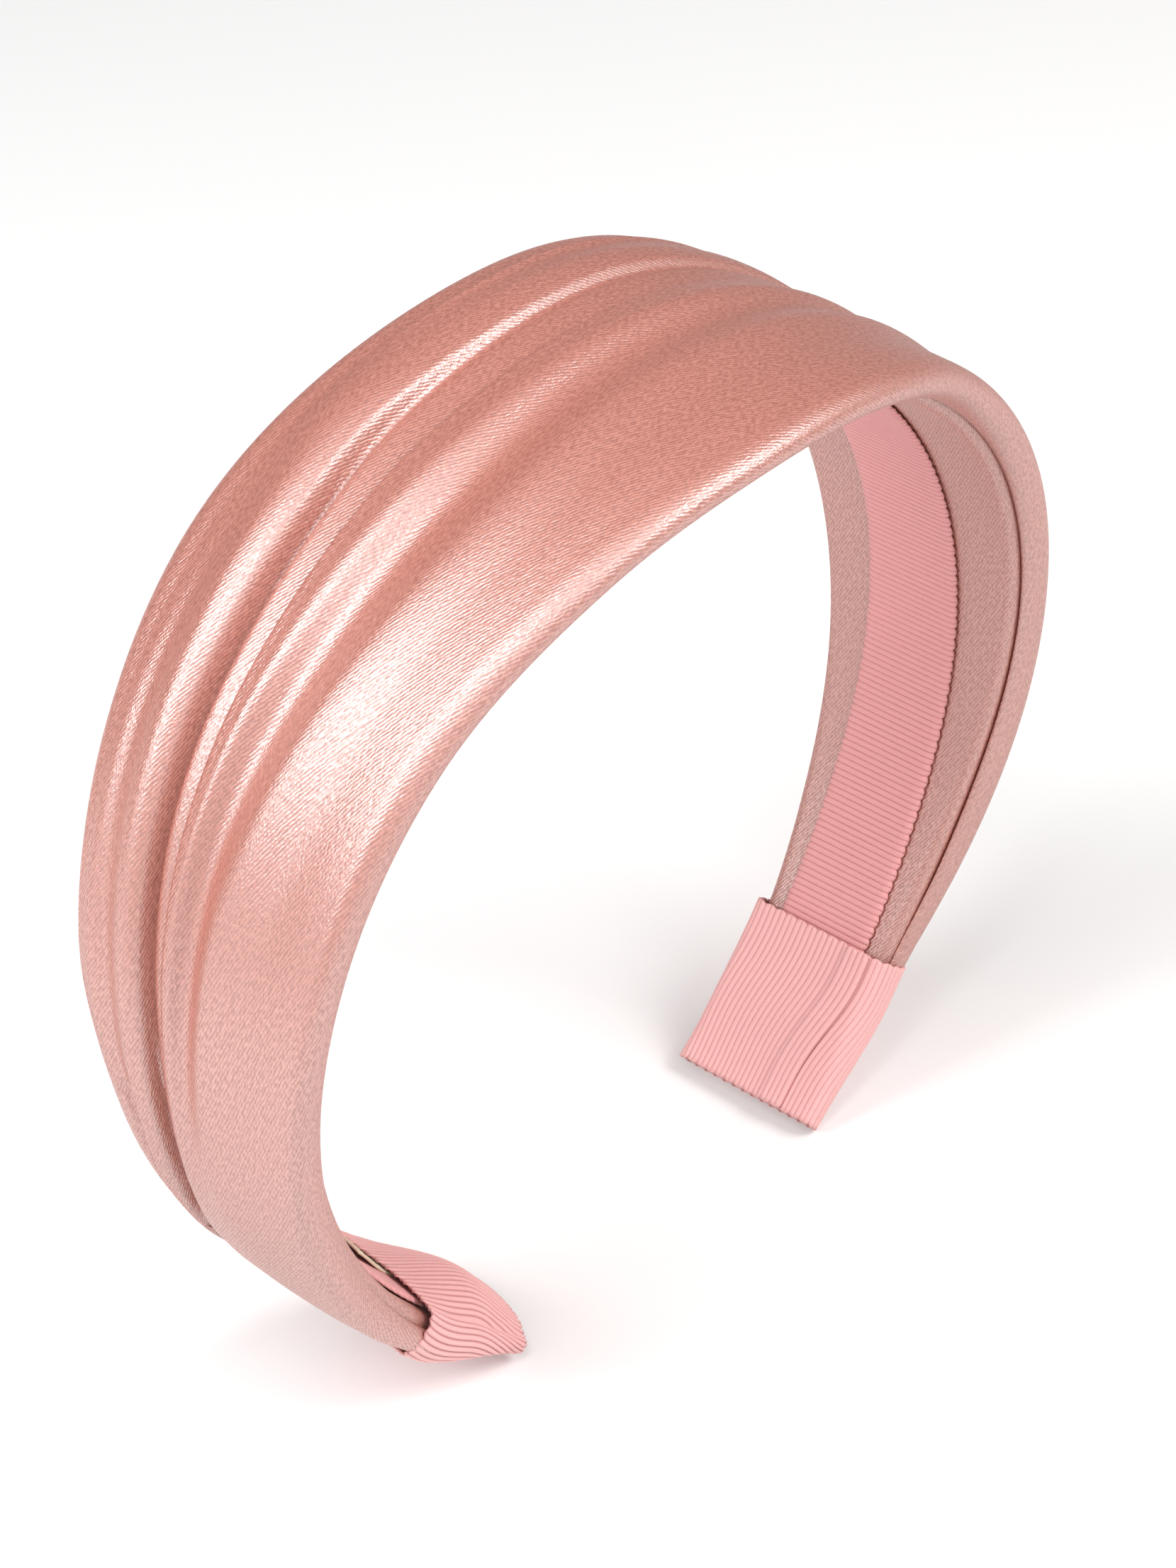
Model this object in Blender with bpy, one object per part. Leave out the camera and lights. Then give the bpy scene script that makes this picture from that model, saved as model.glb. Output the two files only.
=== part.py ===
"""Wide satin hairband: a sprung plastic hoop, padded and covered with draped satin.

Metres, +Z up. The band stands on its two tips: X runs from the wearer's right tip to
the left one, -Y is the front edge, and the origin is under the middle of the box.
Every layer is laid out flat as (s, y, n) and bent round the hoop: s is the distance
along the hoop from the crown, y the place across the strip, n the height above the
satin that faces the head.
"""
import bmesh
import bpy
import numpy as np
from mathutils import Vector

MM = 0.001

# The hoop: three tangent arcs on each side of the crown, with eased joints
CROWN_RADIUS = 68.6 * MM
SIDE_RADIUS = 61 * MM
ARM_RADIUS = 107 * MM
CROWN_ARC_END = 65 * MM
SIDE_ARC_END = 127.5 * MM
ARC_EASE = 24 * MM
HALF_LENGTH = 184 * MM
CAP_LENGTH = 25 * MM
CAP_MOUTH = HALF_LENGTH - CAP_LENGTH

# Stations along the hoop, shared by every layer so that their facets stay parallel
BODY_STEPS = 20
CAP_STEPS = 5
STATION_LEAST = 0.5 * MM

# Which arm of the hoop a piece is on: the near arm is at -X
LEFT = -1
RIGHT = 1

# Layers, as heights above the satin that faces the head
GAP = 0.3 * MM
SATIN = 0.5 * MM
RIBBON = 0.7 * MM
CORE = 1.6 * MM
CORE_EDGE = 0.7 * MM
CORE_BOTTOM = SATIN + GAP
CORE_TOP = CORE_BOTTOM + CORE
LIP_BOTTOM = CORE_TOP + GAP
LIP_TOP = LIP_BOTTOM + SATIN
DRAPE_FLOOR = LIP_TOP + GAP
DRAPE_WALL = 0.6 * MM
OVERHANG_FLOOR = 1.0 * MM
TUCK = 4 * MM
LIP_REACH = 7 * MM

# Sizes that change along the hoop: (distance from the crown, value), all in millimetres
BAND_HALF_WIDTHS = ((0, 19.6), (46, 20.9), (92, 17.9), (138, 12.9), (162, 10.9), (184, 10.5))
DRAPE_FRONT_EDGES = ((0, 32.2), (24, 29.9), (50, 25.0), (92, 20.0), (138, 14.7), (150, 12.5),
                     (158, 10.8), (163, 10.2))
DRAPE_REAR_EDGES = ((0, 24.0), (46, 25.0), (92, 19.9), (138, 12.5), (150, 11.4), (158, 10.6), (163, 10.0))
DRAPE_HEIGHTS = ((0, 6.4), (46, 6.8), (92, 7.1), (138, 7.1), (150, 5.9), (158, 5.0), (163, 4.9))
FRONT_TUCK_RISE = (134, 148)
REAR_TUCK_RISE = (72, 92)
DRAPE_END = 163 * MM
FOAM_END = 140 * MM
FOAM_INSET = 1.6 * MM
FOAM_UNDER = DRAPE_WALL + GAP
ROLL_REACH = 3.2 * MM
ROLL_REACH_LEAST = 0.9 * MM
TUCK_STEP = 0.5 * MM
DRAPE_CROWNING = 0.3 * MM
CROWNING_RUN = 20 * MM

RIBBON_HALF_WIDTH = 7.4 * MM
RIBBON_END = CAP_MOUTH + 5 * MM
COVER_END = CAP_MOUTH + 10 * MM
CORE_END = HALF_LENGTH - 2 * MM

CAP_WALL = 0.6 * MM
CAP_MOUTH_HALF_WIDTH = 12.4 * MM
CAP_END_HALF_WIDTH = 12.8 * MM
CAP_MOUTH_BOTTOM = -2.7 * MM
CAP_MOUTH_TOP = 6.1 * MM
CAP_END_BOTTOM = -0.2 * MM
CAP_END_TOP = 3.4 * MM
CAP_TAPER_START = 0.35
CAP_EDGE_REACH = 2.2 * MM

TAB_OUTSIDE = 8 * MM
TAB_INSIDE = 2.5 * MM
TAB_HALF_WIDTH = 4.5 * MM
TAB_MIDDLE_Y = 3.5 * MM
TAB_THICKNESS = 0.4 * MM
TAB_LIFT = 1.0 * MM
TAB_STEPS = 4

ROSE_SATIN = (0.62, 0.29, 0.25)
DULL_SATIN = (0.52, 0.25, 0.21)
PINK_RIBBON = (0.74, 0.39, 0.39)
CREAM = (0.85, 0.76, 0.66)
MILKY_PLASTIC = (0.80, 0.79, 0.76)
WHITE_FOAM = (0.86, 0.85, 0.80)


def smooth(t):
    """Ease from 0 to 1 without a corner at either end."""
    t = np.clip(t, 0.0, 1.0)
    return t * t * (3 - 2 * t)


def along(points, s):
    """A smooth curve through (distance, value) points in millimetres, read at s metres."""
    places = np.array([p[0] for p in points], float) * MM
    values = np.array([p[1] for p in points], float) * MM
    slopes = np.gradient(values, places)
    slopes[0] = 0.0
    s = float(np.clip(abs(s), places[0], places[-1]))
    k = min(int(np.searchsorted(places, s, side="right")) - 1, len(places) - 2)
    span = places[k + 1] - places[k]
    t = (s - places[k]) / span
    rise = values[k + 1] - values[k]
    near = slopes[k] * span
    far = slopes[k + 1] * span
    return values[k] + t * (near + t * (3 * rise - 2 * near - far + t * (near + far - 2 * rise)))


def hoop_table():
    """Turn angle and position of the hoop's inner face, every half millimetre from the crown."""
    s = np.linspace(0.0, HALF_LENGTH, 369)
    crown, side, arm = 1 / CROWN_RADIUS, 1 / SIDE_RADIUS, 1 / ARM_RADIUS
    bend = crown + (side - crown) * smooth((s - CROWN_ARC_END) / ARC_EASE + 0.5)
    bend = bend + (arm - side) * smooth((s - SIDE_ARC_END) / ARC_EASE + 0.5)
    step = s[1] - s[0]
    turn = np.concatenate([[0.0], np.cumsum(bend[1:] + bend[:-1]) * step / 2])
    x = np.concatenate([[0.0], np.cumsum(np.cos(turn[1:]) + np.cos(turn[:-1])) * step / 2])
    z = -np.concatenate([[0.0], np.cumsum(np.sin(turn[1:]) + np.sin(turn[:-1])) * step / 2])
    return s, turn, x, z


HOOP = hoop_table()
CROWN_Z = -(HOOP[3][-1] + CAP_END_TOP * np.cos(HOOP[1][-1]))


def bend_round(s, y, n):
    """The point of the hoop at distance s from the crown, y across and n above the satin."""
    table_s, table_turn, table_x, table_z = HOOP
    side = -1.0 if s < 0 else 1.0
    turn = np.interp(abs(s), table_s, table_turn)
    x = np.interp(abs(s), table_s, table_x) + n * np.sin(turn)
    z = np.interp(abs(s), table_s, table_z) + n * np.cos(turn)
    return Vector((side * x, y + BAND_MID_Y, z + CROWN_Z))


def stations(end):
    """Distances along the hoop between the ends, with one flat facet across the crown."""
    odd = 2 * BODY_STEPS + 1
    body = [CAP_MOUTH * (2 * k + 1) / odd for k in range(BODY_STEPS + 1)]
    cap = [CAP_MOUTH + CAP_LENGTH * k / CAP_STEPS for k in range(1, CAP_STEPS + 1)]
    half = [s for s in body + cap if s < end - STATION_LEAST] + [end]
    return [-s for s in reversed(half)] + half


FRONT_MOST = max(along(DRAPE_FRONT_EDGES, s) for s in stations(DRAPE_END))
REAR_MOST = max(along(DRAPE_REAR_EDGES, s) for s in stations(DRAPE_END))
BAND_MID_Y = (FRONT_MOST - REAR_MOST) / 2


def material(name, colour, roughness, metallic=0.0):
    mat = bpy.data.materials.new(name)
    mat.use_nodes = True
    shader = mat.node_tree.nodes["Principled BSDF"]
    shader.inputs["Base Color"].default_value = (*colour, 1.0)
    shader.inputs["Roughness"].default_value = roughness
    shader.inputs["Metallic"].default_value = metallic
    mat.diffuse_color = (*colour, 1.0)
    return mat


def add_object(name, bm, mat, parent):
    bmesh.ops.recalc_face_normals(bm, faces=bm.faces)
    mesh = bpy.data.meshes.new(name)
    bm.to_mesh(mesh)
    bm.free()
    mesh.shade_smooth()
    mesh.set_sharp_from_angle(angle=np.radians(40))
    mesh.materials.append(mat)
    obj = bpy.data.objects.new(name, mesh)
    bpy.context.scene.collection.objects.link(obj)
    obj.parent = parent
    return obj


def sheet(section, distances):
    """An open sheet: the section's points at each distance, laid edge to edge round the hoop."""
    rows = len(distances) - 1
    columns = len(section(distances[0])) - 1
    bm = bmesh.new()
    bmesh.ops.create_grid(bm, x_segments=rows, y_segments=columns, size=0.5)
    for vert in bm.verts:
        row = round((vert.co.x + 0.5) * rows)
        column = round((vert.co.y + 0.5) * columns)
        y, n = section(distances[row])[column]
        vert.co = bend_round(distances[row], y, n)
    return bm


def thicken(bm, thickness):
    """Give the sheet its thickness: above its face when positive, below it when negative."""
    bm.normal_update()
    bmesh.ops.solidify(bm, geom=bm.faces[:], thickness=-thickness)
    return bm


def loft(section, distances):
    """A closed skin through closed sections, with flat ends."""
    bm = bmesh.new()
    last_edges = None
    for s in distances:
        verts = [bm.verts.new(bend_round(s, y, n)) for y, n in section(s)]
        edges = [bm.edges.new((a, b)) for a, b in zip(verts, verts[1:] + verts[:1])]
        if last_edges is None:
            bm.faces.new(verts)
        else:
            bmesh.ops.bridge_loops(bm, edges=last_edges + edges)
        last_edges = edges
    bm.faces.new(verts)
    return bm


def half_round(centre_y, centre_n, reach, rise, side, steps):
    """Points of a half ellipse that bulges to one side, from straight below to straight above."""
    angles = np.linspace(0, np.pi, steps + 1)
    return [(centre_y + side * reach * np.sin(a), centre_n - rise * np.cos(a)) for a in angles]


def build_core(parent):
    """The sprung strip, narrower than its satin by the wall and a gap on each side."""
    def section(s):
        half = along(BAND_HALF_WIDTHS, s) - SATIN - GAP
        inner = half - CORE_EDGE
        low = [(inner * t, CORE_BOTTOM) for t in (-1, -0.33, 0.33, 1)]
        high = [(y, CORE_TOP) for y, _ in reversed(low)]
        middle = (CORE_BOTTOM + CORE_TOP) / 2
        return low + [(half, middle)] + high + [(-half, middle)]
    mat = material("milky_plastic", MILKY_PLASTIC, 0.4)
    return add_object("band_core", loft(section, stations(CORE_END)), mat, parent)


def build_inner_cover(parent):
    """Satin wrapped round the core: flat against the head, with its edges lapped on top."""
    radius = LIP_TOP / 2

    def section(s):
        half = along(BAND_HALF_WIDTHS, s)
        roll = half_round(half - radius, radius, radius, radius, 1, 4)
        rear = roll + [(half - LIP_REACH, LIP_TOP)]
        front = [(-y, n) for y, n in reversed(rear)]
        return front + [(0.0, 0.0)] + rear
    bm = thicken(sheet(section, stations(COVER_END)), SATIN)
    return add_object("inner_cover", bm, material("inner_satin", DULL_SATIN, 0.45), parent)


def build_lining_ribbon(parent):
    """Ribbed ribbon down the middle of the inner face, its ends under the caps."""
    def section(s):
        low, high = -GAP - RIBBON, -GAP
        half = RIBBON_HALF_WIDTH
        return [(-half, low), (0, low), (half, low), (half, high), (0, high), (-half, high)]
    bm = loft(section, stations(RIBBON_END))
    return add_object("lining_ribbon", bm, material("pink_ribbon", PINK_RIBBON, 0.7), parent)


def drape_side(s, edges, tuck_rise, side):
    """One side of the drape's section, from its tuck under the padding round the roll to the top."""
    band = along(BAND_HALF_WIDTHS, s)
    edge = along(edges, s)
    top = along(DRAPE_HEIGHTS, s)
    start, end = tuck_rise
    lift = smooth((abs(s) / MM - start) / (end - start))
    floor = OVERHANG_FLOOR + (DRAPE_FLOOR - OVERHANG_FLOOR) * lift
    beside_band = max(min(ROLL_REACH, edge - band - 1.2 * GAP), ROLL_REACH_LEAST)
    reach = beside_band + (ROLL_REACH - beside_band) * smooth((abs(s) / MM - end) / (end - start))
    corner = min(band + GAP, edge - reach - TUCK_STEP * lift)
    tuck = [(side * (corner - TUCK), DRAPE_FLOOR), (side * corner, DRAPE_FLOOR)]
    return tuck + half_round(side * (edge - reach), (top + floor) / 2, reach, (top - floor) / 2, side, 6)


def build_drape(parent):
    """The outer satin: one cloth over the padding, rolled under along both edges."""
    def section(s):
        front = drape_side(s, DRAPE_FRONT_EDGES, FRONT_TUCK_RISE, -1)
        rear = drape_side(s, DRAPE_REAR_EDGES, REAR_TUCK_RISE, 1)
        start, end = front[-1], rear[-1]
        width = end[0] - start[0]
        crowning = DRAPE_CROWNING * smooth((DRAPE_END - abs(s)) / CROWNING_RUN - 0.5)
        top = [(start[0] + width * t, start[1] + crowning * np.sin(np.pi * t)) for t in (0.25, 0.5, 0.75)]
        return front + top + rear[::-1]
    bm = thicken(sheet(section, stations(DRAPE_END)), -DRAPE_WALL)
    return add_object("outer_drape", bm, material("rose_satin", ROSE_SATIN, 0.32), parent)


def build_foam(parent):
    """Thin foam that fills the drape from roll to roll and thins out towards the tips."""
    def section(s):
        front = along(DRAPE_FRONT_EDGES, s)
        rear = along(DRAPE_REAR_EDGES, s)
        band = along(BAND_HALF_WIDTHS, s)
        bottom = DRAPE_FLOOR + FOAM_UNDER
        top = along(DRAPE_HEIGHTS, s) - DRAPE_WALL - GAP
        reach = (top - bottom) / 2
        front_side = -(front - FOAM_INSET - reach)
        rear_side = rear - FOAM_INSET - reach
        points = half_round(rear_side, bottom + reach, reach, reach, 1, 4)
        points += [((front_side + rear_side) / 2, top)]
        points += half_round(front_side, bottom + reach, reach, reach, -1, 4)[::-1]
        return points + [((front_side + rear_side) / 2, bottom)]
    bm = loft(section, stations(FOAM_END))
    return add_object("foam_pad", bm, material("white_foam", WHITE_FOAM, 0.9), parent)


def build_end_cap(name, side, mat, parent):
    """A loop of ribbed ribbon round the tip, flattened towards its end and open at both ends."""
    distances = [CAP_MOUTH + CAP_LENGTH * k / CAP_STEPS for k in range(CAP_STEPS + 1)]

    def ring(s, inset):
        t = (s - CAP_MOUTH) / CAP_LENGTH
        taper = smooth((t - CAP_TAPER_START) / (1 - CAP_TAPER_START))
        half = CAP_MOUTH_HALF_WIDTH + (CAP_END_HALF_WIDTH - CAP_MOUTH_HALF_WIDTH) * t - inset
        low = CAP_MOUTH_BOTTOM + (CAP_END_BOTTOM - CAP_MOUTH_BOTTOM) * taper + inset
        high = CAP_MOUTH_TOP + (CAP_END_TOP - CAP_MOUTH_TOP) * taper - inset
        rise = (high - low) / 2
        reach = min(CAP_EDGE_REACH, rise)
        rear = half_round(half - reach, low + rise, reach, rise, 1, 5)
        front = half_round(-(half - reach), low + rise, reach, rise, -1, 5)[::-1]
        return [bend_round(side * s, y, n) for y, n in rear + front]

    bm = bmesh.new()
    loops = []
    for inset in (0.0, CAP_WALL):
        for s in distances if inset == 0.0 else reversed(distances):
            verts = [bm.verts.new(point) for point in ring(s, inset)]
            loops.append([bm.edges.new((a, b)) for a, b in zip(verts, verts[1:] + verts[:1])])
    for near, far in zip(loops, loops[1:] + loops[:1]):
        bmesh.ops.bridge_loops(bm, edges=near + far)
    return add_object(name, bm, mat, parent)


def build_label_tab(parent):
    """A small blank cloth tab on the left tip, its end tucked under the cap."""
    start = CAP_MOUTH - TAB_OUTSIDE
    length = TAB_OUTSIDE + TAB_INSIDE

    def section(s):
        lift = TAB_LIFT * (1 - smooth((abs(s) - start) / TAB_OUTSIDE))
        high = -GAP - RIBBON - GAP - lift
        low = high - TAB_THICKNESS
        near = TAB_MIDDLE_Y - TAB_HALF_WIDTH
        far = TAB_MIDDLE_Y + TAB_HALF_WIDTH
        return [(near, low), (far, low), (far, high), (near, high)]
    places = [LEFT * (start + length * k / TAB_STEPS) for k in range(TAB_STEPS + 1)]
    return add_object("label_tab", loft(section, places), material("cream_tab", CREAM, 0.8), parent)


def main():
    for obj in list(bpy.data.objects):
        bpy.data.objects.remove(obj, do_unlink=True)
    root = bpy.data.objects.new("hairband", None)
    bpy.context.scene.collection.objects.link(root)
    build_core(root)
    build_foam(root)
    build_inner_cover(root)
    build_drape(root)
    build_lining_ribbon(root)
    cap_ribbon = material("cap_ribbon", PINK_RIBBON, 0.7)
    build_end_cap("end_cap_left", LEFT, cap_ribbon, root)
    build_end_cap("end_cap_right", RIGHT, cap_ribbon, root)
    build_label_tab(root)


main()
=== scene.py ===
import math

import bmesh
import bpy
import numpy as np
from mathutils import Matrix, Vector


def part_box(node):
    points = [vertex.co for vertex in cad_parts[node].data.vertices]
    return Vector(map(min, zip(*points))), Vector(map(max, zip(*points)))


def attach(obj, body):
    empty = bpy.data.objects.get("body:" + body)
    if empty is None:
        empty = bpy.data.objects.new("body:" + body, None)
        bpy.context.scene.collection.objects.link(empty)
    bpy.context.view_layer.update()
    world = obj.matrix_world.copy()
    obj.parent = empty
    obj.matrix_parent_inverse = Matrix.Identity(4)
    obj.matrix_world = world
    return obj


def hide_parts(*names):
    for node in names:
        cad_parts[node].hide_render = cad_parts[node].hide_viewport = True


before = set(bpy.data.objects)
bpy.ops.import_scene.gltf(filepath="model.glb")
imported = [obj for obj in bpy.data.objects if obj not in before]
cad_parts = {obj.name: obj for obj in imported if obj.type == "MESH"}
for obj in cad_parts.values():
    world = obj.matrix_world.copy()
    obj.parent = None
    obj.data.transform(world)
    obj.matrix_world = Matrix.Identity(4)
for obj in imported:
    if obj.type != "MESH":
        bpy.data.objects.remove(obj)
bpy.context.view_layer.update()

mm = 0.001

# The sprung hoop, in millimetres: three tangent arcs on each side of the crown
hoop = {
    "crownRadius": 68.6,
    "sideRadius": 61.0,
    "armRadius": 107.0,
    "crownArcEnd": 65.0,
    "sideArcEnd": 127.5,
    "arcEase": 24.0,
    "halfLength": 184.0,
    "capLength": 25.0,
    "tipTop": 3.4,
    "halfWidths": ((0, 19.6), (46, 20.9), (92, 17.9), (138, 12.9), (162, 10.9), (184, 10.5)),
}
capMouth = hoop["halfLength"] - hoop["capLength"]


def ease(t):  # from 0 to 1 without a corner at either end
    t = np.clip(t, 0.0, 1.0)
    return t * t * (3 - 2 * t)


def readCurve(points, s):  # smooth curve through (distance, value) points
    places, values = np.array(points, float).T
    slopes = np.gradient(values, places)
    if places[0] == 0:
        slopes[0] = 0.0  # a curve that both arms share is level at the crown
    s = np.clip(s, places[0], places[-1])
    k = np.clip(np.searchsorted(places, s, side="right") - 1, 0, len(places) - 2)
    span = places[k + 1] - places[k]
    t = (s - places[k]) / span
    rise = values[k + 1] - values[k]
    near = slopes[k] * span
    far = slopes[k + 1] * span
    return values[k] + t * (near + t * (3 * rise - 2 * near - far + t * (near + far - 2 * rise)))


def hoopLine():  # turn angle and place of the hoop's inner face, from the crown past the tip
    steps = int(hoop["halfLength"] * 2)
    s = np.arange(steps + 17) / 2
    crown, side, arm = (1 / hoop[k] for k in ("crownRadius", "sideRadius", "armRadius"))
    bend = crown + (side - crown) * ease((s - hoop["crownArcEnd"]) / hoop["arcEase"] + 0.5)
    bend = bend + (arm - side) * ease((s - hoop["sideArcEnd"]) / hoop["arcEase"] + 0.5)

    def total(values):
        return np.concatenate([[0.0], np.cumsum(values[1:] + values[:-1]) / 4])
    turn = total(bend)
    x, z = total(np.cos(turn)), -total(np.sin(turn))
    crownZ = -(z[steps] + hoop["tipTop"] * np.cos(turn[steps]))
    return s, turn, x, z + crownZ


hoopS, hoopTurn, hoopX, hoopZ = hoopLine()
coreLow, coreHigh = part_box("band_core")
bandMiddle = (coreLow.y + coreHigh.y) / 2

# The left tip is set a little crooked
leftTip = {"start": 118, "run": 50, "roll": 6.0, "skew": 8.0, "rollHeight": 1.6}


def bendRound(s, y, n):  # a strip laid flat as (along, across, height) is bent round the hoop
    s, y, n = np.broadcast_arrays(np.asarray(s, float), y, n)
    crooked = np.where(s < 0, ease((-s - leftTip["start"]) / leftTip["run"]), 0.0)
    roll = np.radians(leftTip["roll"]) * crooked
    skew = np.radians(leftTip["skew"]) * crooked
    above = n - leftTip["rollHeight"]
    n = leftTip["rollHeight"] - y * np.sin(roll) + above * np.cos(roll)
    y = y * np.cos(roll) + above * np.sin(roll)
    s = s - y * np.tan(skew)
    far = np.abs(s)
    turn = np.interp(far, hoopS, hoopTurn)
    x = np.interp(far, hoopS, hoopX) + n * np.sin(turn)
    z = np.interp(far, hoopS, hoopZ) + n * np.cos(turn)
    return np.stack([np.sign(s) * x, y + bandMiddle / mm, z], -1) * mm


def linearColour(code):  # sRGB hex to the renderer's linear colour
    parts = [int(code[k:k + 2], 16) / 255 for k in (1, 3, 5)]
    return tuple(c / 12.92 if c <= 0.04045 else ((c + 0.055) / 1.055) ** 2.4 for c in parts) + (1.0,)


def addNode(tree, kind, settings=None, links=None):
    node = tree.nodes.new(kind)
    for key, value in (settings or {}).items():
        if isinstance(key, int) or key in node.inputs:
            node.inputs[key].default_value = value
        else:
            setattr(node, key, value)
    for key, source in (links or {}).items():
        tree.links.new(source, node.inputs[key])
    return node


def newMaterial(name, shaderSettings):
    material = bpy.data.materials.new(name)
    material.use_nodes = True
    tree = material.node_tree
    tree.nodes.clear()
    shader = addNode(tree, "ShaderNodeBsdfPrincipled", shaderSettings)
    addNode(tree, "ShaderNodeOutputMaterial", None, {"Surface": shader.outputs[0]})
    return material, tree, shader


# Polyester satin, piece-dyed: long floats lie side by side, so light slides off in one broad
# streak along each fold, and between the streaks the cloth looks matt and grainy
satin = {
    "colour": "#C58172",
    "shade": "#985142",
    "outerRoughness": 0.36,
    "innerRoughness": 0.46,
    "twillAngle": 32,
    "grainPitch": 0.42,  # real twill lines are 0.25 mm apart, drawn coarser so that they show
    "speckle": 0.42,  # coarser than real floats, for the same reason
    "floatStretch": 0.55,
    "patchScale": 90.0,  # faint clouding, in patches about 11 mm across
    "grainLift": 0.17,
}


def satinWeave(name, roughness):
    material, tree, shader = newMaterial(name, {"Specular IOR Level": 1.0, "IOR": 2.0, "Anisotropic": 0.5})
    uv = addNode(tree, "ShaderNodeUVMap", {"uv_map": "cloth"})
    turn = (0.0, 0.0, math.radians(satin["twillAngle"]))
    twill = addNode(tree, "ShaderNodeMapping", {"Rotation": turn, "Scale": (1000 / satin["grainPitch"],) * 3},
                    {"Vector": uv.outputs[0]})
    lines = addNode(tree, "ShaderNodeTexWave", {
        "wave_type": "BANDS", "bands_direction": "Y", "Scale": math.pi / 10,  # one line to each pitch
        "Distortion": 3.0, "Detail": 2.0, "Detail Scale": 1.4,
    }, {"Vector": twill.outputs[0]})
    perSpeckle = 1000 / satin["speckle"]
    floats = addNode(tree, "ShaderNodeMapping", {
        "Rotation": turn, "Scale": (satin["floatStretch"] * perSpeckle, perSpeckle, 1.0),
    }, {"Vector": uv.outputs[0]})
    speckle = addNode(tree, "ShaderNodeTexNoise", {"Scale": 1.0, "Detail": 2.0, "Roughness": 0.65},
                      {"Vector": floats.outputs[0]})
    cloud = addNode(tree, "ShaderNodeTexNoise", {"Scale": satin["patchScale"], "Detail": 3.0},
                    {"Vector": uv.outputs[0]})
    grain = addNode(tree, "ShaderNodeMath", {"operation": "MULTIPLY_ADD", 1: 0.22},
                    {0: lines.outputs["Fac"], 2: speckle.outputs["Fac"]})
    lit = addNode(tree, "ShaderNodeMapRange", {"From Min": 0.45, "From Max": 0.76},
                  {"Value": grain.outputs[0]})
    tint = addNode(tree, "ShaderNodeMix", {
        "data_type": "RGBA", 6: linearColour(satin["shade"]), 7: linearColour(satin["colour"]),
    }, {0: lit.outputs[0]})
    dyed = addNode(tree, "ShaderNodeMix", {
        "data_type": "RGBA", "blend_type": "MULTIPLY", 0: 0.05,
    }, {6: tint.outputs[2], 7: cloud.outputs["Fac"]})
    gloss = addNode(tree, "ShaderNodeMapRange", {
        "From Min": 0.4, "From Max": 0.82, "To Min": roughness + 0.12, "To Max": roughness - 0.06,
    }, {"Value": grain.outputs[0]})
    bump = addNode(tree, "ShaderNodeBump", {"Strength": 0.6, "Distance": satin["grainLift"] * mm},
                   {"Height": grain.outputs[0]})
    along = addNode(tree, "ShaderNodeTangent", {"direction_type": "UV_MAP", "uv_map": "cloth"})
    tree.links.new(dyed.outputs[2], shader.inputs["Base Color"])
    tree.links.new(gloss.outputs[0], shader.inputs["Roughness"])
    tree.links.new(bump.outputs[0], shader.inputs["Normal"])
    tree.links.new(along.outputs[0], shader.inputs["Tangent"])
    return material


# Grosgrain, woven with thick filling cords: the eye sees matt ribs with fine warp threads over them
grosgrain = {
    "liningColour": "#DFA09F",
    "liningShade": "#A05C5A",
    "capColour": "#E7B0AE",
    "capShade": "#B0706E",
    "threads": (4200.0, 1400.0, 1.0),  # to the metre: warp threads drawn 0.24 mm wide so that they show
    "threadLift": 0.06,
}


def grosgrainCloth(name, colour, shade):
    material, tree, shader = newMaterial(name, {
        "Roughness": 0.62,
        "Specular IOR Level": 0.35,
        "Sheen Weight": 0.25,
        "Sheen Roughness": 0.35,
        "Sheen Tint": linearColour("#FBE1E0"),
    })
    uv = addNode(tree, "ShaderNodeUVMap", {"uv_map": "cloth"})
    threads = addNode(tree, "ShaderNodeMapping", {"Scale": grosgrain["threads"]}, {"Vector": uv.outputs[0]})
    fuzz = addNode(tree, "ShaderNodeTexNoise", {"Scale": 1.0, "Detail": 2.0, "Roughness": 0.6},
                   {"Vector": threads.outputs[0]})
    # Colour darkens into the grooves between the ribs: painted shade, with a little real thread fuzz mixed in
    rib = addNode(tree, "ShaderNodeAttribute", {"attribute_name": "rib"})
    ribShadeAndFuzz = addNode(tree, "ShaderNodeMath", {"operation": "MULTIPLY_ADD", 1: 0.3},
                   {0: fuzz.outputs["Fac"], 2: rib.outputs["Fac"]})
    blend = addNode(tree, "ShaderNodeMapRange", {"From Min": 0.1, "From Max": 1.0},
                    {"Value": ribShadeAndFuzz.outputs[0]})
    tint = addNode(tree, "ShaderNodeMix", {
        "data_type": "RGBA", 6: linearColour(shade), 7: linearColour(colour),
    }, {0: blend.outputs[0]})
    bump = addNode(tree, "ShaderNodeBump", {"Strength": 0.5, "Distance": grosgrain["threadLift"] * mm},
                   {"Height": fuzz.outputs["Fac"]})
    tree.links.new(tint.outputs[2], shader.inputs["Base Color"])
    tree.links.new(bump.outputs[0], shader.inputs["Normal"])
    return material


def gridVerts(bm, rows, columns):  # a grid of cloth, and the row and column that each vertex lies in
    bmesh.ops.create_grid(bm, x_segments=rows, y_segments=columns, size=0.5)
    flat = np.array([vert.co for vert in bm.verts])
    row = np.rint((flat[:, 0] + 0.5) * rows).astype(int)
    column = np.rint((flat[:, 1] + 0.5) * columns).astype(int)
    return row, column


def addPiece(name, bm):
    mesh = bpy.data.meshes.new(name)
    bm.to_mesh(mesh)
    bm.free()
    piece = bpy.data.objects.new(name, mesh)
    bpy.context.scene.collection.objects.link(piece)
    return piece


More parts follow.
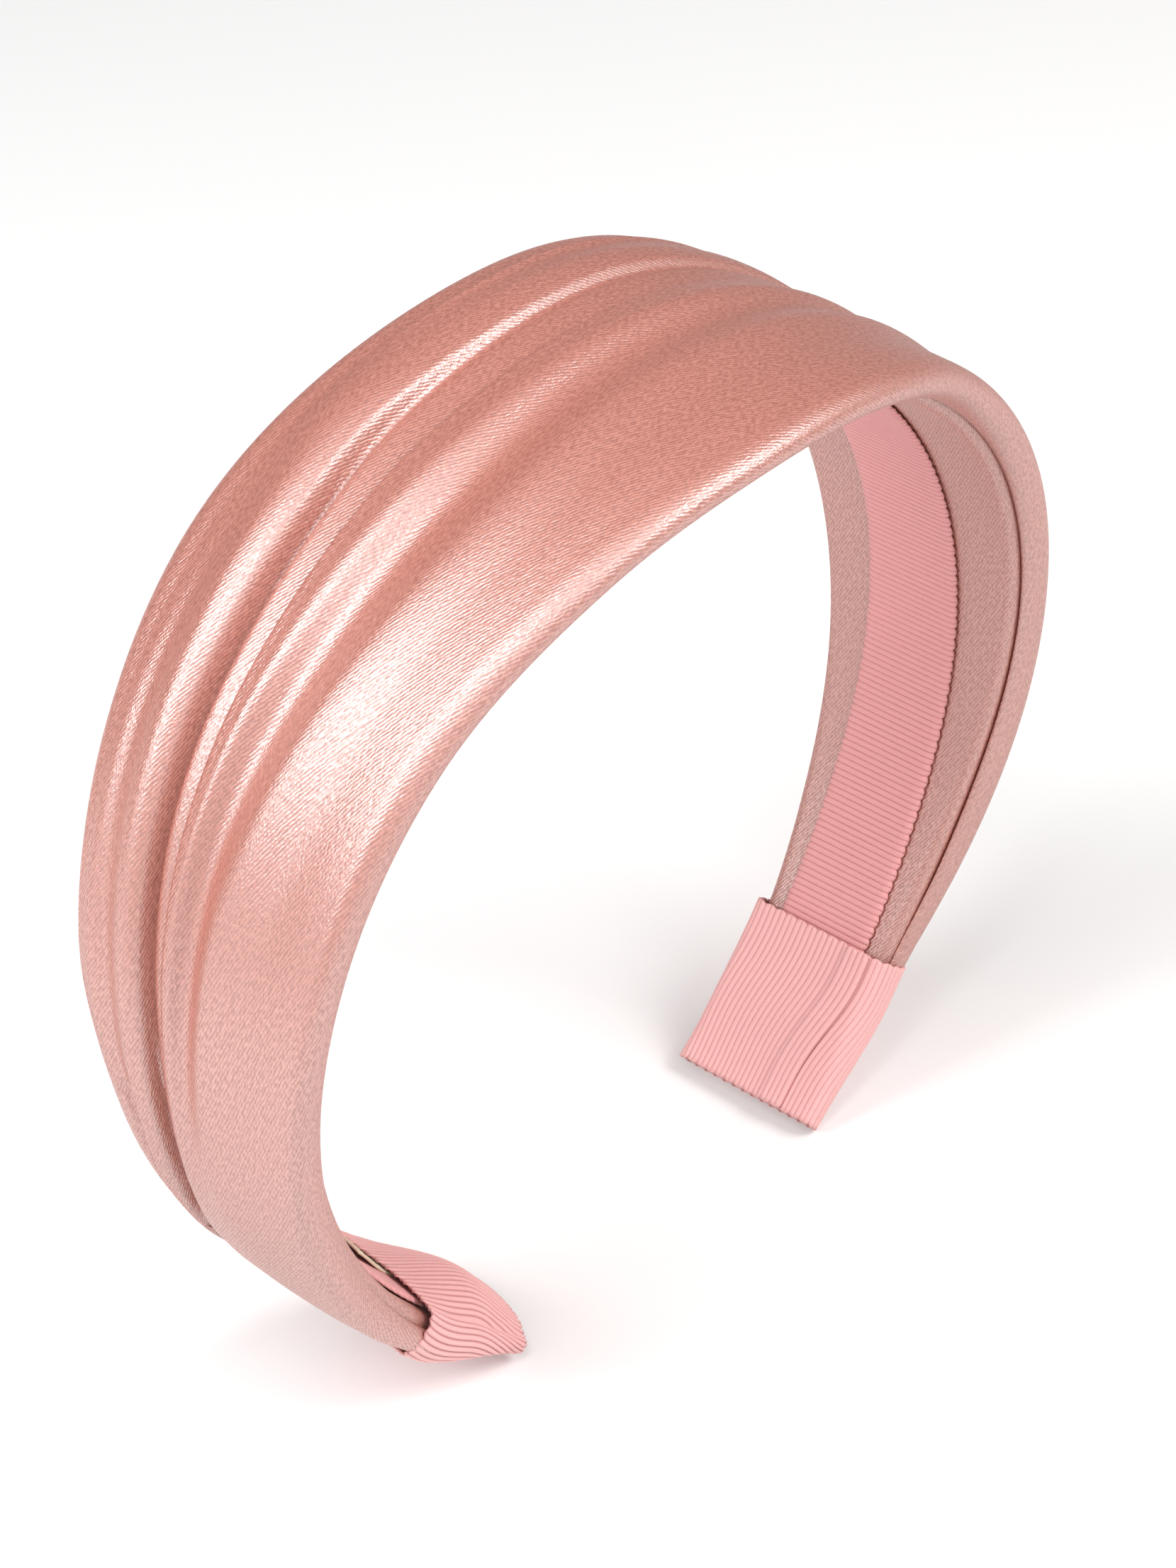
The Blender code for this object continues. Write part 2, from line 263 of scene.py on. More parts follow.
def makeStrip(name, points, cloth, ribs, material, wall):
    # Rows run along the band and columns across it; the wall is grown inwards afterwards
    bm = bmesh.new()
    row, column = gridVerts(bm, points.shape[0] - 1, points.shape[1] - 1)
    uv = bm.loops.layers.uv.new("cloth")
    rib = bm.verts.layers.float.new("rib")
    for vert, i, j in zip(bm.verts, row, column):
        vert.co = points[i, j]
        vert[rib] = ribs[i, j]
    bm.verts.index_update()
    for face in bm.faces:
        for loop in face.loops:
            k = loop.vert.index
            loop[uv].uv = cloth[row[k], column[k]]
    bmesh.ops.recalc_face_normals(bm, faces=bm.faces)
    piece = addPiece(name, bm)
    piece.data.shade_smooth()
    piece.data.materials.append(material)
    solid = piece.modifiers.new("wall", "SOLIDIFY")
    solid.thickness = wall * mm
    solid.offset = -1
    return piece


def clothArea(piece):
    return sum(face.area for face in piece.data.polygons)


def faceOut(piece, outward):  # turned over if, taken together, its faces look the other way
    normal = sum((face.normal * face.area for face in piece.data.polygons), Vector())
    if normal.dot(outward) < 0:
        piece.data.flip_normals()


# The outer satin: one cloth pleated over the padding and rolled under along both edges
drape = {
    "end": 163.0,
    "rows": 326,
    "frontEdges": ((-163, 12.3), (-158, 12.6), (-150, 13.4), (-138, 15.0), (-92, 20.4), (-50, 25.4),
                   (-24, 30.6), (0, 33.6), (24, 31.5), (50, 25.2), (92, 19.7), (138, 14.4), (150, 12.9),
                   (158, 12.1), (163, 12.0)),
    "rearEdges": ((-163, 11.6), (-158, 12.8), (-150, 13.9), (-138, 13.7), (-115, 15.2), (-92, 19.0),
                  (-70, 22.6), (-46, 25.3), (0, 24.0), (46, 25.8), (92, 20.8), (138, 13.4), (150, 11.8),
                  (158, 10.6), (163, 10.0)),
    "heights": ((0, 6.4), (46, 6.8), (92, 7.1), (138, 7.0), (150, 6.0), (158, 5.2), (163, 5.0)),
    "rollReach": 4.0,
    "rollLeast": 0.9,
    "tuckFloor": 3.5,
    "overhangFloor": 1.5,
    "tuck": 4.0,
    "tuckSteps": (1.0, 0.66, 0.33, 0.0),
    "rollColumns": 13,
    "panelColumns": 44,
    "underpleatColumns": 6,
    "lobeColumns": 40,
    "crowning": 0.5,
    "wall": 0.35,
    "frontRise": (200, 210),
    "rearRise": (72, 92),
}
edgeColumns = len(drape["tuckSteps"]) + drape["rollColumns"]

# Pleat lines, as (distance from the crown, place across or height), near arm first
panelEdge = ((-163, 6.0), (-150, 8.0), (-140, 7.4), (-129, 5.2), (-119, 3.4), (-108, 2.8), (-96, 3.1),
             (-84, 3.9), (-72, 4.5), (-60, 4.6), (-48, 4.2), (-36, 3.8), (-24, 3.5), (-11, 2.6),
             (3, 2.6), (20, 3.0), (44, 2.2), (70, 1.5), (100, 2.5), (130, 4.5), (150, 6.0), (163, 6.0))
underpleatWidth = ((-163, 1.1), (-120, 1.1), (-96, 1.3), (-84, 1.7), (-72, 2.2), (-60, 2.6), (-48, 3.0),
                   (-36, 3.6), (-24, 4.4), (-11, 4.9), (3, 5.0), (20, 5.2), (44, 5.6), (80, 4.0),
                   (120, 1.6), (163, 1.1))
valleyWidth = ((-163, 0.8), (-120, 0.8), (-72, 0.7), (-45, 0.9), (-29, 1.1), (0, 1.2), (44, 1.2),
               (120, 0.9), (163, 0.8))
flankWidth = ((-163, 1.2), (-130, 2.0), (-100, 2.6), (-70, 3.0), (-45, 3.6), (-20, 4.4), (0, 4.8),
              (44, 4.4), (100, 2.8), (163, 1.2))
lobeWidth = ((-163, 1.5), (-130, 2.4), (-100, 3.8), (-70, 5.0), (-45, 5.6), (-20, 5.6), (0, 5.2),
             (44, 4.6), (100, 3.0), (163, 1.5))
streakPlace = ((-163, 0.0), (-110, 1.0), (-75, 1.4), (-60, 0.2), (-47, -2.0), (-35, -3.6), (-24, -5.0),
               (-1, -5.2), (20, -5.6), (44, -4.2), (80, -2.5), (120, 0.0), (163, 0.0))
frontStreakPlace = ((-163, -5.0), (-120, -7.4), (-90, -10.0), (-75, -11.2), (-68, -12.6), (-56, -15.0),
                    (-47, -16.6), (-30, -19.6), (0, -20.5), (30, -19.0), (60, -15.0), (100, -10.5),
                    (163, -5.0))
panelStep = ((-163, 0.0), (-150, 0.3), (-140, 0.8), (-120, 1.1), (-90, 1.1), (-60, 1.0), (-36, 1.0),
             (-10, 0.85), (20, 0.65), (44, 0.5), (80, 0.8), (120, 0.9), (145, 0.4), (163, 0.0))
underpleatStep = ((-163, 0.0), (-140, 0.15), (-110, 0.3), (-90, 0.5), (-60, 0.8), (-36, 0.9),
                  (-10, 0.5), (20, 0.35), (44, 0.35), (100, 0.3), (150, 0.05), (163, 0.0))
ridgeRise = ((-163, 0.0), (-150, 0.1), (-138, 0.3), (-120, 0.7), (-100, 1.2), (-70, 2.0), (-45, 2.4),
             (-22, 1.6), (-5, 0.6), (20, 0.6), (44, 0.6), (80, 0.8), (120, 0.7), (150, 0.1), (163, 0.0))
troughRise = ((-163, 0.0), (-138, 0.0), (-110, -0.1), (-90, -0.1), (-70, 0.1), (-40, 0.5), (-20, 0.5),
              (0, 0.3), (44, 0.1), (100, 0.1), (163, 0.0))
rearHumpRise = ((-163, 0.0), (-138, 0.1), (-115, 0.5), (-95, 0.8), (-75, 0.5), (-45, 0.3), (0, 0.4),
                (44, 0.4), (100, 0.4), (163, 0.0))
streakRise = ((-163, 0.0), (-120, 0.0), (-95, -0.4), (-70, -1.2), (-45, -1.6), (-20, -1.3), (0, -0.9),
              (44, -0.7), (80, -0.4), (120, 0.0), (163, 0.0))
frontStreakRise = ((-163, 0.0), (-120, 0.0), (-95, -0.3), (-75, -0.6), (-60, -0.5), (-45, -0.2),
                   (-20, 0.0), (0, 0.0), (44, -0.3), (80, -0.4), (120, 0.0), (163, 0.0))
panelHump = ((-163, 0.0), (-120, 0.15), (-80, 0.25), (-45, 0.35), (0, 0.35), (44, 0.35), (100, 0.2),
             (163, 0.0))

# A folded edge seen end on: places across a flat cloth, and (across, drop) of a closed fold
foldFlat = (-1.0, -0.75, -0.5, -0.25, 0.0, 0.25, 0.5)
foldShut = ((-1.0, 0.0), (-0.5, 0.02), (0.0, 0.16), (0.28, 0.44), (0.0, 0.84), (-0.22, 1.04), (0.5, 1.06))


def drapeEdge(s, edges, riseRun, side):
    # From the tuck under the padding round the roll to the top, for every distance at once
    band = readCurve(hoop["halfWidths"], abs(s))
    edge = readCurve(edges, s)
    top = readCurve(drape["heights"], abs(s))
    start, end = riseRun
    lift = ease((abs(s) - start) / (end - start))
    floor = drape["overhangFloor"] + (drape["tuckFloor"] - drape["overhangFloor"]) * lift
    beside = np.maximum(np.minimum(drape["rollReach"], edge - band - 0.36), drape["rollLeast"])
    reach = beside + (drape["rollReach"] - beside) * ease((abs(s) - end) / (end - start))
    corner = np.minimum(band + 0.3, edge - reach - 0.5 * lift)
    middle = (top + floor) / 2
    half = (top - floor) / 2
    points = []
    for tucked in drape["tuckSteps"]:
        points.append((side * (corner - drape["tuck"] * tucked), drape["tuckFloor"] + 0 * s))
    for angle in np.linspace(0, np.pi, drape["rollColumns"]):
        points.append((side * (edge - reach + reach * np.sin(angle)), middle - half * np.cos(angle)))
    return points


def foldedEdge(place, rise, step, width):
    # The columns across one folded edge, closed by as much as the step is deep
    shut = np.clip(step / 0.6, 0.0, 1.0)
    points = []
    for flatY, (shutY, shutDrop) in zip(foldFlat, foldShut):
        across = flatY + (shutY - flatY) * shut
        drop = (flatY + 1.0) / 1.5 * (1 - shut) + shutDrop * shut
        points.append((place + across * width, rise - drop * step))
    return points


def between(start, end, knots, columns):
    # Columns between two edges, on a smooth curve through the knots that lie between them
    knots = [start] + knots + [end]
    ys = np.array([k[0] for k in knots])
    rises = np.array([k[1] for k in knots])
    t = np.linspace(0, 1, columns + 2)[1:-1]
    y = start[0] + (end[0] - start[0]) * t[:, None]
    rise = np.empty_like(y)
    for k in range(y.shape[1]):
        rise[:, k] = readCurve(np.stack([ys[:, k], rises[:, k]], -1), y[:, k])
    return list(zip(y, rise))


def spanOf(points, k):  # the k-th coordinate of a list of columns, as rows by columns
    return np.stack([p[k] for p in points], -1)


def drapeSections():
    s = np.linspace(-drape["end"], drape["end"], drape["rows"] + 1)
    front = drapeEdge(s, drape["frontEdges"], drape["frontRise"], -1)
    rear = drapeEdge(s, drape["rearEdges"], drape["rearRise"], 1)
    top = readCurve(drape["heights"], abs(s))
    frontTop, rearTop = front[-1][0], rear[-1][0]
    last = rearTop - 0.6

    # The front panel's folded edge, and the narrow pleat that shows under it
    foldWidth = np.interp(abs(s), (0, 90, 140), (1.0, 0.9, 0.7))  # folds are finer down the arms
    edgePlace = np.minimum(readCurve(panelEdge, s), rearTop - 2.0)
    edgeRise = 0.15 * ease((150 - abs(s)) / 40)
    step = readCurve(panelStep, s)
    panelFold = foldedEdge(edgePlace, edgeRise, step, foldWidth)
    underWidth = readCurve(underpleatWidth, s)
    underPlace = edgePlace + underWidth + 0.5
    underStep = readCurve(underpleatStep, s)
    underRise = edgeRise - step + 0.25 * ease(underWidth - 1.5)
    underFold = foldedEdge(underPlace, underRise, underStep, 0.8 * foldWidth)

    # Behind the pleats: a valley, then the puffed ridge, a trough and a low hump
    sunk = 0.2 + 0.8 * ease((-s - 10) / 40) * ease((s + 150) / 60)  # deepest halfway down the left arm
    valleyPlace = underPlace + readCurve(valleyWidth, s)
    ridgePlace = valleyPlace + readCurve(flankWidth, s)
    troughPlace = np.minimum(ridgePlace + readCurve(lobeWidth, s), last - 0.8)
    ridgePlace = np.minimum(ridgePlace, last - 1.6)
    valley = (np.minimum(valleyPlace, ridgePlace - 0.8), underRise - underStep - sunk)
    ridge = (ridgePlace, readCurve(ridgeRise, s))
    trough = (troughPlace, readCurve(troughRise, s))
    hump = ((troughPlace + last) / 2, readCurve(rearHumpRise, s))
    climb = ridge[1] - valley[1]
    flank = []
    for share in (0.22, 0.6):  # the ridge's front slope is a quarter of an ellipse
        flank.append((valley[0] + (ridge[0] - valley[0]) * share,
                      valley[1] + climb * np.sin(np.arccos(1 - share))))

    # Two shallow creases run down the panel
    streak = (readCurve(streakPlace, s), readCurve(streakRise, s))
    frontStreak = (np.maximum(readCurve(frontStreakPlace, s), frontTop + 1.5), readCurve(frontStreakRise, s))
    swell = readCurve(panelHump, s)
    frontHump = ((frontStreak[0] + streak[0]) / 2, swell)
    rearHump = ((streak[0] + panelFold[0][0]) / 2, swell * 0.9)

    panel = between((frontTop, 0 * s), panelFold[0], [frontStreak, frontHump, streak, rearHump],
                    drape["panelColumns"])
    underpleat = between(panelFold[-1], underFold[0], [], drape["underpleatColumns"])
    lobe = between(underFold[-1], (rearTop, 0 * s), [valley] + flank + [ridge, trough, hump],
                   drape["lobeColumns"])
    topPoints = panel + panelFold + underpleat + underFold + lobe
    across = spanOf(topPoints, 0)
    crowning = drape["crowning"] * ease((drape["end"] - abs(s)) / 20 - 0.5)
    reachOver = (across - frontTop[:, None]) / (rearTop - frontTop)[:, None]
    heights = top[:, None] + spanOf(topPoints, 1) + crowning[:, None] * np.sin(np.pi * reachOver)
    y = np.concatenate([spanOf(front, 0), across, spanOf(rear[::-1], 0)], 1)
    n = np.concatenate([spanOf(front, 1), heights, spanOf(rear[::-1], 1)], 1)
    return s, y, n


def layCloth(s, y, n):  # flat measure of the cloth, so that its weave keeps its size
    run = np.hypot(np.diff(y, axis=1), np.diff(n, axis=1))
    across = np.concatenate([np.zeros((len(s), 1)), np.cumsum(run, 1)], 1)
    across = across - across[:, across.shape[1] // 2][:, None]
    return np.stack([np.broadcast_to(s[:, None], across.shape), across], -1) * mm


# The pleated cloth is let go for a moment between its tacked lines, so that it fills out like satin
settle = {
    "rowStep": 3,
    "columnStep": 3,
    "frames": 16,
    "grown": 0.004,
    "enlarged": 60.0,  # the scale that the cloth is solved at
    "most": 0.8,
    "tackedRows": 3,
    "frontTacks": (0, 3, 6, 10, 14, 17),
    "foldTacks": (61, 64, 67, 72, 76, 79),
    "rearTacks": (18, 15, 11, 7, 4, 1),  # counted from the rear edge
    "looseFront": (19, 59),
    "looseRear": (83, 19),  # the second counted from the rear edge
}
satinCloth = {"mass": 0.3, "stretch": 30.0, "shear": 10.0, "bend": 5.0, "quality": 6}


def spread(places, values, wanted):  # smooth values along the first axis
    flat = values.reshape(len(places), -1)
    out = np.stack([readCurve(np.stack([places, column], -1), wanted) for column in flat.T], -1)
    return out.reshape((len(wanted),) + values.shape[1:])


def solveCloth(cloth, pinned):  # run the cloth between its pins and give back where it ends up
    pins = cloth.vertex_groups.new(name="tacks")
    pins.add(pinned, 1.0, "REPLACE")
    modifier = cloth.modifiers.new("satin", "CLOTH")
    fabric = modifier.settings
    fabric.quality = satinCloth["quality"]
    fabric.mass = satinCloth["mass"]
    fabric.tension_stiffness = satinCloth["stretch"]
    fabric.compression_stiffness = satinCloth["stretch"]
    fabric.shear_stiffness = satinCloth["shear"]
    fabric.bending_stiffness = satinCloth["bend"]
    fabric.vertex_group_mass = "tacks"
    fabric.shrink_min = -settle["grown"]
    fabric.effector_weights.gravity = 0.0
    modifier.collision_settings.use_collision = False
    modifier.point_cache.frame_start = 1
    modifier.point_cache.frame_end = settle["frames"]
    scene = bpy.context.scene
    for moment in range(1, settle["frames"] + 1):
        scene.frame_set(moment)
    solved = cloth.evaluated_get(bpy.context.evaluated_depsgraph_get()).to_mesh()
    places = np.array([vert.co for vert in solved.vertices])
    scene.frame_set(1)
    return places


def settleCloth(points):  # points of the pleated cloth, by row and column
    rows, columns = points.shape[:2]
    tacked = list(settle["frontTacks"] + settle["foldTacks"]) + [columns - k for k in settle["rearTacks"]]
    loose = list(range(*settle["looseFront"], settle["columnStep"]))
    loose += list(range(settle["looseRear"][0], columns - settle["looseRear"][1], settle["columnStep"]))
    columnPicks = np.array(sorted(set(loose + tacked)))
    rowPicks = np.array(sorted(set(range(0, rows, settle["rowStep"])) | {rows - 1}))
    coarse = points[np.ix_(rowPicks, columnPicks)]
    bm = bmesh.new()
    row, column = gridVerts(bm, len(rowPicks) - 1, len(columnPicks) - 1)
    for vert, i, j in zip(bm.verts, row, column):
        vert.co = coarse[i, j] * settle["enlarged"]
    cloth = addPiece("looseCloth", bm)
    atEnd = (row < settle["tackedRows"]) | (row >= len(rowPicks) - settle["tackedRows"])
    pinned = np.flatnonzero(np.isin(columnPicks[column], tacked) | atEnd).tolist()
    moved = solveCloth(cloth, pinned) / settle["enlarged"]
    shift = np.zeros_like(coarse)
    shift[row, column] = moved - coarse[row, column]
    size = np.linalg.norm(shift, axis=-1, keepdims=True)
    print("cloth settled, largest move in mm", round(float(size.max()) / mm, 2))
    shift = shift * np.minimum(1.0, settle["most"] * mm / np.maximum(size, 1e-9))
    bpy.data.objects.remove(cloth)
    byRow = spread(rowPicks.astype(float), shift, np.arange(rows, dtype=float))
    both = spread(columnPicks.astype(float), byRow.transpose(1, 0, 2), np.arange(columns, dtype=float))
    return points + both.transpose(1, 0, 2)


drapeShape = drapeSections()  # worked out once, because the padding under it follows it


def buildDrape(material):
    s, y, n = drapeShape
    points = bendRound(s[:, None], y, n)
    points = settleCloth(points)
    piece = makeStrip("outerDrape", points, layCloth(s, y, n), np.zeros_like(y), material, drape["wall"])
    faceOut(piece, Vector((0, 0, 1)))
    return piece


# Satin wrapped round the core: flat against the head, edges lapped over the top
innerCover = {
    "end": 169.0,
    "rows": 226,
    "lipTop": 3.2,
    "lipReach": 7.0,
    "lipColumns": 13,
    "flatColumns": 25,
    "dish": 0.10,
    "wall": 0.45,
}


def buildInnerCover(material):
    s = np.linspace(-innerCover["end"], innerCover["end"], innerCover["rows"] + 1)
    half = readCurve(hoop["halfWidths"], abs(s))
    lipTop = innerCover["lipTop"] + 0 * s
    radius = innerCover["lipTop"] / 2
    rear = [(half - innerCover["lipReach"], lipTop), (half - radius - 2.2, lipTop)]
    for angle in np.linspace(0, np.pi, innerCover["lipColumns"]):
        rear.append((half - radius + radius * np.sin(angle), radius + radius * np.cos(angle) + 0 * s))
    flat = []
    for t in np.linspace(0.94, -0.94, innerCover["flatColumns"]):
        flat.append(((half - radius) * t, innerCover["dish"] * (1 - t * t) + 0 * s))
    front = [(-y, n) for y, n in rear[::-1]]
    sections = rear + flat + front
    y, n = spanOf(sections, 0), spanOf(sections, 1)
    points = bendRound(s[:, None], y, n)
    return makeStrip("innerCover", points, layCloth(s, y, n), np.zeros_like(y), material, innerCover["wall"])


# Ribbed ribbon down the middle of the inner face, with small loops along both selvedges
lining = {
    "halfWidth": 7.4,
    "end": 164.0,
    "pitch": 0.9,
    "rowsPerRib": 6,
    "under": -0.02,
    "thick": 0.62,
    "rib": 0.3,
    "loop": 0.5,
    "selvedge": 0.1,
    "wall": 0.3,
    "places": (0.2, 0.5, 0.8, 0.92, 0.96, 0.985, 1.0),
}


def buildLining(material):
    ribCount = round(2 * lining["end"] / lining["pitch"])
    rows = ribCount * lining["rowsPerRib"]
    s = np.linspace(-lining["end"], lining["end"], rows + 1)
    phase = np.pi * np.arange(rows + 1) / lining["rowsPerRib"]
    cord = np.abs(np.sin(phase))[:, None] ** 0.6
    pair = np.abs(np.sin(phase / 2))[:, None] ** 0.7
    places = np.array(lining["places"])
    columns = np.concatenate([-places[::-1], places])
    looped = lining["loop"] * (pair - 0.5) * np.sign(columns) * (abs(columns) > 0.95)
    y = lining["halfWidth"] * columns + looped
    intoEdge = (abs(columns) - 1 + lining["selvedge"]).clip(0)
    rounding = np.sqrt(np.clip(1 - intoEdge ** 2 / 0.0101, 0, 1))
    body = lining["thick"] - lining["rib"] + lining["rib"] * cord
    n = -lining["under"] - body * (0.25 + 0.75 * rounding)
    cloth = np.stack(np.broadcast_arrays(s[:, None], y), -1) * mm
    points = bendRound(s[:, None], y, n)
    return makeStrip("liningRibbon", points, cloth, np.broadcast_to(cord, n.shape), material, lining["wall"])


# Ribbon looped round each tip, its cords running along the band, its end lapped over its start
tipCap = {
    "rows": 40,
    "ribs": 66,
    "columnsPerRib": 6,
    "girth": 62.0,
    "overlap": 3.6,
    "lap": 0.45,
    "rib": 0.26,
    "wall": 0.3,
    "edgeReach": 2.2,
    "scallop": 0.4,
    "cornerSteps": 25,
    "innerSteps": 29,
}
leftLoop = {
    "mouthHalf": 13.0, "mouthLow": -1.5, "mouthTop": 6.3,
    "endHalf": 12.0, "endLow": -0.6, "endTop": 2.6,
    "lowTaper": 0.45, "topTaper": 0.1, "puff": 3.8,
    "seam": (30.0, 30.0), "sway": 0.7, "rearCut": 4.0, "frontCut": 0.8,
}
rightLoop = {
    "mouthHalf": 12.6, "mouthLow": -1.6, "mouthTop": 5.9,
    "endHalf": 12.6, "endLow": -0.3, "endTop": 3.2,
    "lowTaper": 0.4, "topTaper": 0.2, "puff": 0.3,
    "seam": (9.6, 7.0), "sway": 0.6, "rearCut": 0.0, "frontCut": 0.0,
}


def loopOutline(loop, t):  # closed outline round the tip, from the middle of the inner face past the front
    half = loop["mouthHalf"] + (loop["endHalf"] - loop["mouthHalf"]) * t
    lowShare = ease((t - loop["lowTaper"]) / (1 - loop["lowTaper"]))
    topShare = ease((t - loop["topTaper"]) / (1 - loop["topTaper"]))
    low = loop["mouthLow"] + (loop["endLow"] - loop["mouthLow"]) * lowShare
    high = loop["mouthTop"] + (loop["endTop"] - loop["mouthTop"]) * topShare
    rise = (high - low) / 2
    reach = min(tipCap["edgeReach"], rise)
    span = half - reach
    angles = np.linspace(0, np.pi, tipCap["cornerSteps"])
    front = [(-span - reach * np.sin(a), low + rise - rise * np.cos(a)) for a in angles]
    rear = [(span + reach * np.sin(a), low + rise + rise * np.cos(a)) for a in angles]
    swell = loop["puff"] * np.sin(np.pi * (0.05 + 0.8 * t))  # the inner face is domed towards the mouth
    inner = []
    for y in np.linspace(span, -span, tipCap["innerSteps"]):
        inner.append((y, low - swell * np.sin(np.pi * ((y + span) / (2 * span)) ** 0.75)))
    middle = tipCap["innerSteps"] // 2
    return np.array(inner[middle:-1] + front + rear + inner[1:middle + 1])


def ringAt(outline, run, at):
    return np.interp(at, run, outline[:, 0]), np.interp(at, run, outline[:, 1])


def buildCap(name, side, loop, material):
    rows = tipCap["rows"]
    columns = tipCap["ribs"] * tipCap["columnsPerRib"]
    t = np.linspace(0, 1, rows + 1)
    u = np.linspace(0, 1, columns + 1)
    phase = np.pi * np.arange(columns + 1) / tipCap["columnsPerRib"]
    cord = np.abs(np.sin(phase)) ** 0.6
    y = np.zeros((rows + 1, columns + 1))
    n = np.zeros_like(y)
    seamStart, seamEnd = loop["seam"]
    for i, along in enumerate(t):
        outline = loopOutline(loop, along)
        run = np.concatenate([[0], np.cumsum(np.hypot(*np.diff(outline, axis=0).T))])
        once = run[-1]  # the way once round the tip
        seam = seamStart + (seamEnd - seamStart) * along + loop["sway"] * np.sin(2 * np.pi * along)
        travel = u * (once + tipCap["overlap"])
        at = (seam - tipCap["overlap"] + travel) % once
        ringY, ringN = ringAt(outline, run, at)
        aheadY, aheadN = ringAt(outline, run, (at + 0.05) % once)
        stepY, stepN = aheadY - ringY, aheadN - ringN
        size = np.hypot(stepY, stepN)
        lapped = ease((travel - once + 1.0) / 1.2)
        lift = tipCap["rib"] * (cord - 1) + tipCap["lap"] * (lapped - 0.5)
        y[i] = ringY - stepN / size * lift
        n[i] = ringN + stepY / size * lift
    selvedge = tipCap["scallop"] * np.abs(np.sin(phase / 2)) ** 0.7
    cut = loop["rearCut"] * ease((y - 1) / 11) ** 1.5 + loop["frontCut"] * ease((-y - 7) / 5)
    atEnds = ease((t - 0.9) / 0.1) - ease((0.1 - t) / 0.1)
    s = capMouth + (hoop["capLength"] - cut) * t[:, None] + selvedge[None, :] * atEnds[:, None]
    down, about = hoop["capLength"] * t[:, None], tipCap["girth"] * u[None, :]
    cloth = np.stack(np.broadcast_arrays(down, about), -1) * mm
    points = bendRound(side * s, y, n)
    return makeStrip(name, points, cloth, np.broadcast_to(cord[None, :], y.shape), material, tipCap["wall"])


# Small blank cloth tab on the left tip
tab = {
    "outside": 8.0,
    "inside": 2.5,
    "halfWidth": 4.5,
    "middle": 3.5,
    "lift": 1.0,
    "clear": 0.25,
    "thick": 0.35,
    "rows": 22,
    "columns": 19,
}


def buildTab(material):
    t = np.linspace(0, 1, tab["rows"])
    s = -(capMouth - tab["outside"] + (tab["outside"] + tab["inside"]) * t)
    across = np.linspace(-1, 1, tab["columns"])
    y = tab["middle"] + tab["halfWidth"] * across[None, :] + 0 * s[:, None]
    lift = tab["lift"] * (1 - ease(t * 1.3))
    resting = -(lining["under"] + lining["thick"] + tab["clear"])
    n = resting - lift[:, None] * (1 - 0.35 * across[None, :] ** 2)
    cloth = np.stack(np.broadcast_arrays(s[:, None], y), -1) * mm
    return makeStrip("blankTab", bendRound(s[:, None], y, n), cloth, np.ones_like(y), material, tab["thick"])


def closedStrip(name, end, rows, section, material):
    # A closed body drawn through closed sections, ends capped
    bm = bmesh.new()
    last = None
    for s in np.linspace(-end, end, rows + 1):
        y, n = np.array(section(s)).T
        verts = [bm.verts.new(p) for p in bendRound(np.full(len(y), s), y, n)]
        edges = [bm.edges.new((a, b)) for a, b in zip(verts, verts[1:] + verts[:1])]
        if last is None:
            bm.faces.new(verts)
        else:
            bmesh.ops.bridge_loops(bm, edges=last + edges)
        last = edges
    bm.faces.new(verts)
    bmesh.ops.recalc_face_normals(bm, faces=bm.faces)
    piece = addPiece(name, bm)
    piece.data.shade_smooth()
    piece.data.set_sharp_from_angle(angle=math.radians(50))
    piece.data.materials.append(material)
    return piece


# The sprung strip: flat, with both long edges rounded over
core = {"end": 182.0, "rows": 182, "inset": 0.9, "middle": 1.6, "halfThick": 0.75, "edgeRound": 0.7}


def coreSection(s):
    half = float(readCurve(hoop["halfWidths"], abs(s))) - core["inset"]
    rear = []
    for angle in np.linspace(-np.pi / 2, np.pi / 2, 7):
        rear.append((half - core["edgeRound"] + core["edgeRound"] * np.cos(angle),
                     core["middle"] + core["halfThick"] * np.sin(angle)))
    return rear + [(-y, n) for y, n in reversed(rear)]


# The padding fills the drape from below, so the pleats press into it
padding = {"end": 140.0, "rows": 140, "clear": 0.55, "least": 0.25, "skin": 0.9, "nearby": 1.3, "columns": 29}


def foamSection(s):
    row = int(round(s - drapeShape[0][0]))
    underTop = slice(edgeColumns - 1, 1 - edgeColumns)
    y, n = drapeShape[1][row][underTop], drapeShape[2][row][underTop]
    low = drape["tuckFloor"] + padding["clear"]
    across = np.linspace(y[-1] - 1.2, y[0] + 1.2, padding["columns"])
    lowest = np.array([n[abs(y - place) < padding["nearby"]].min() for place in across])
    top = np.maximum(lowest - padding["skin"], low + padding["least"])
    top[[0, -1]] = low + 0.12
    return list(zip(across, top)) + list(zip(across[::-1], 0 * across + low))


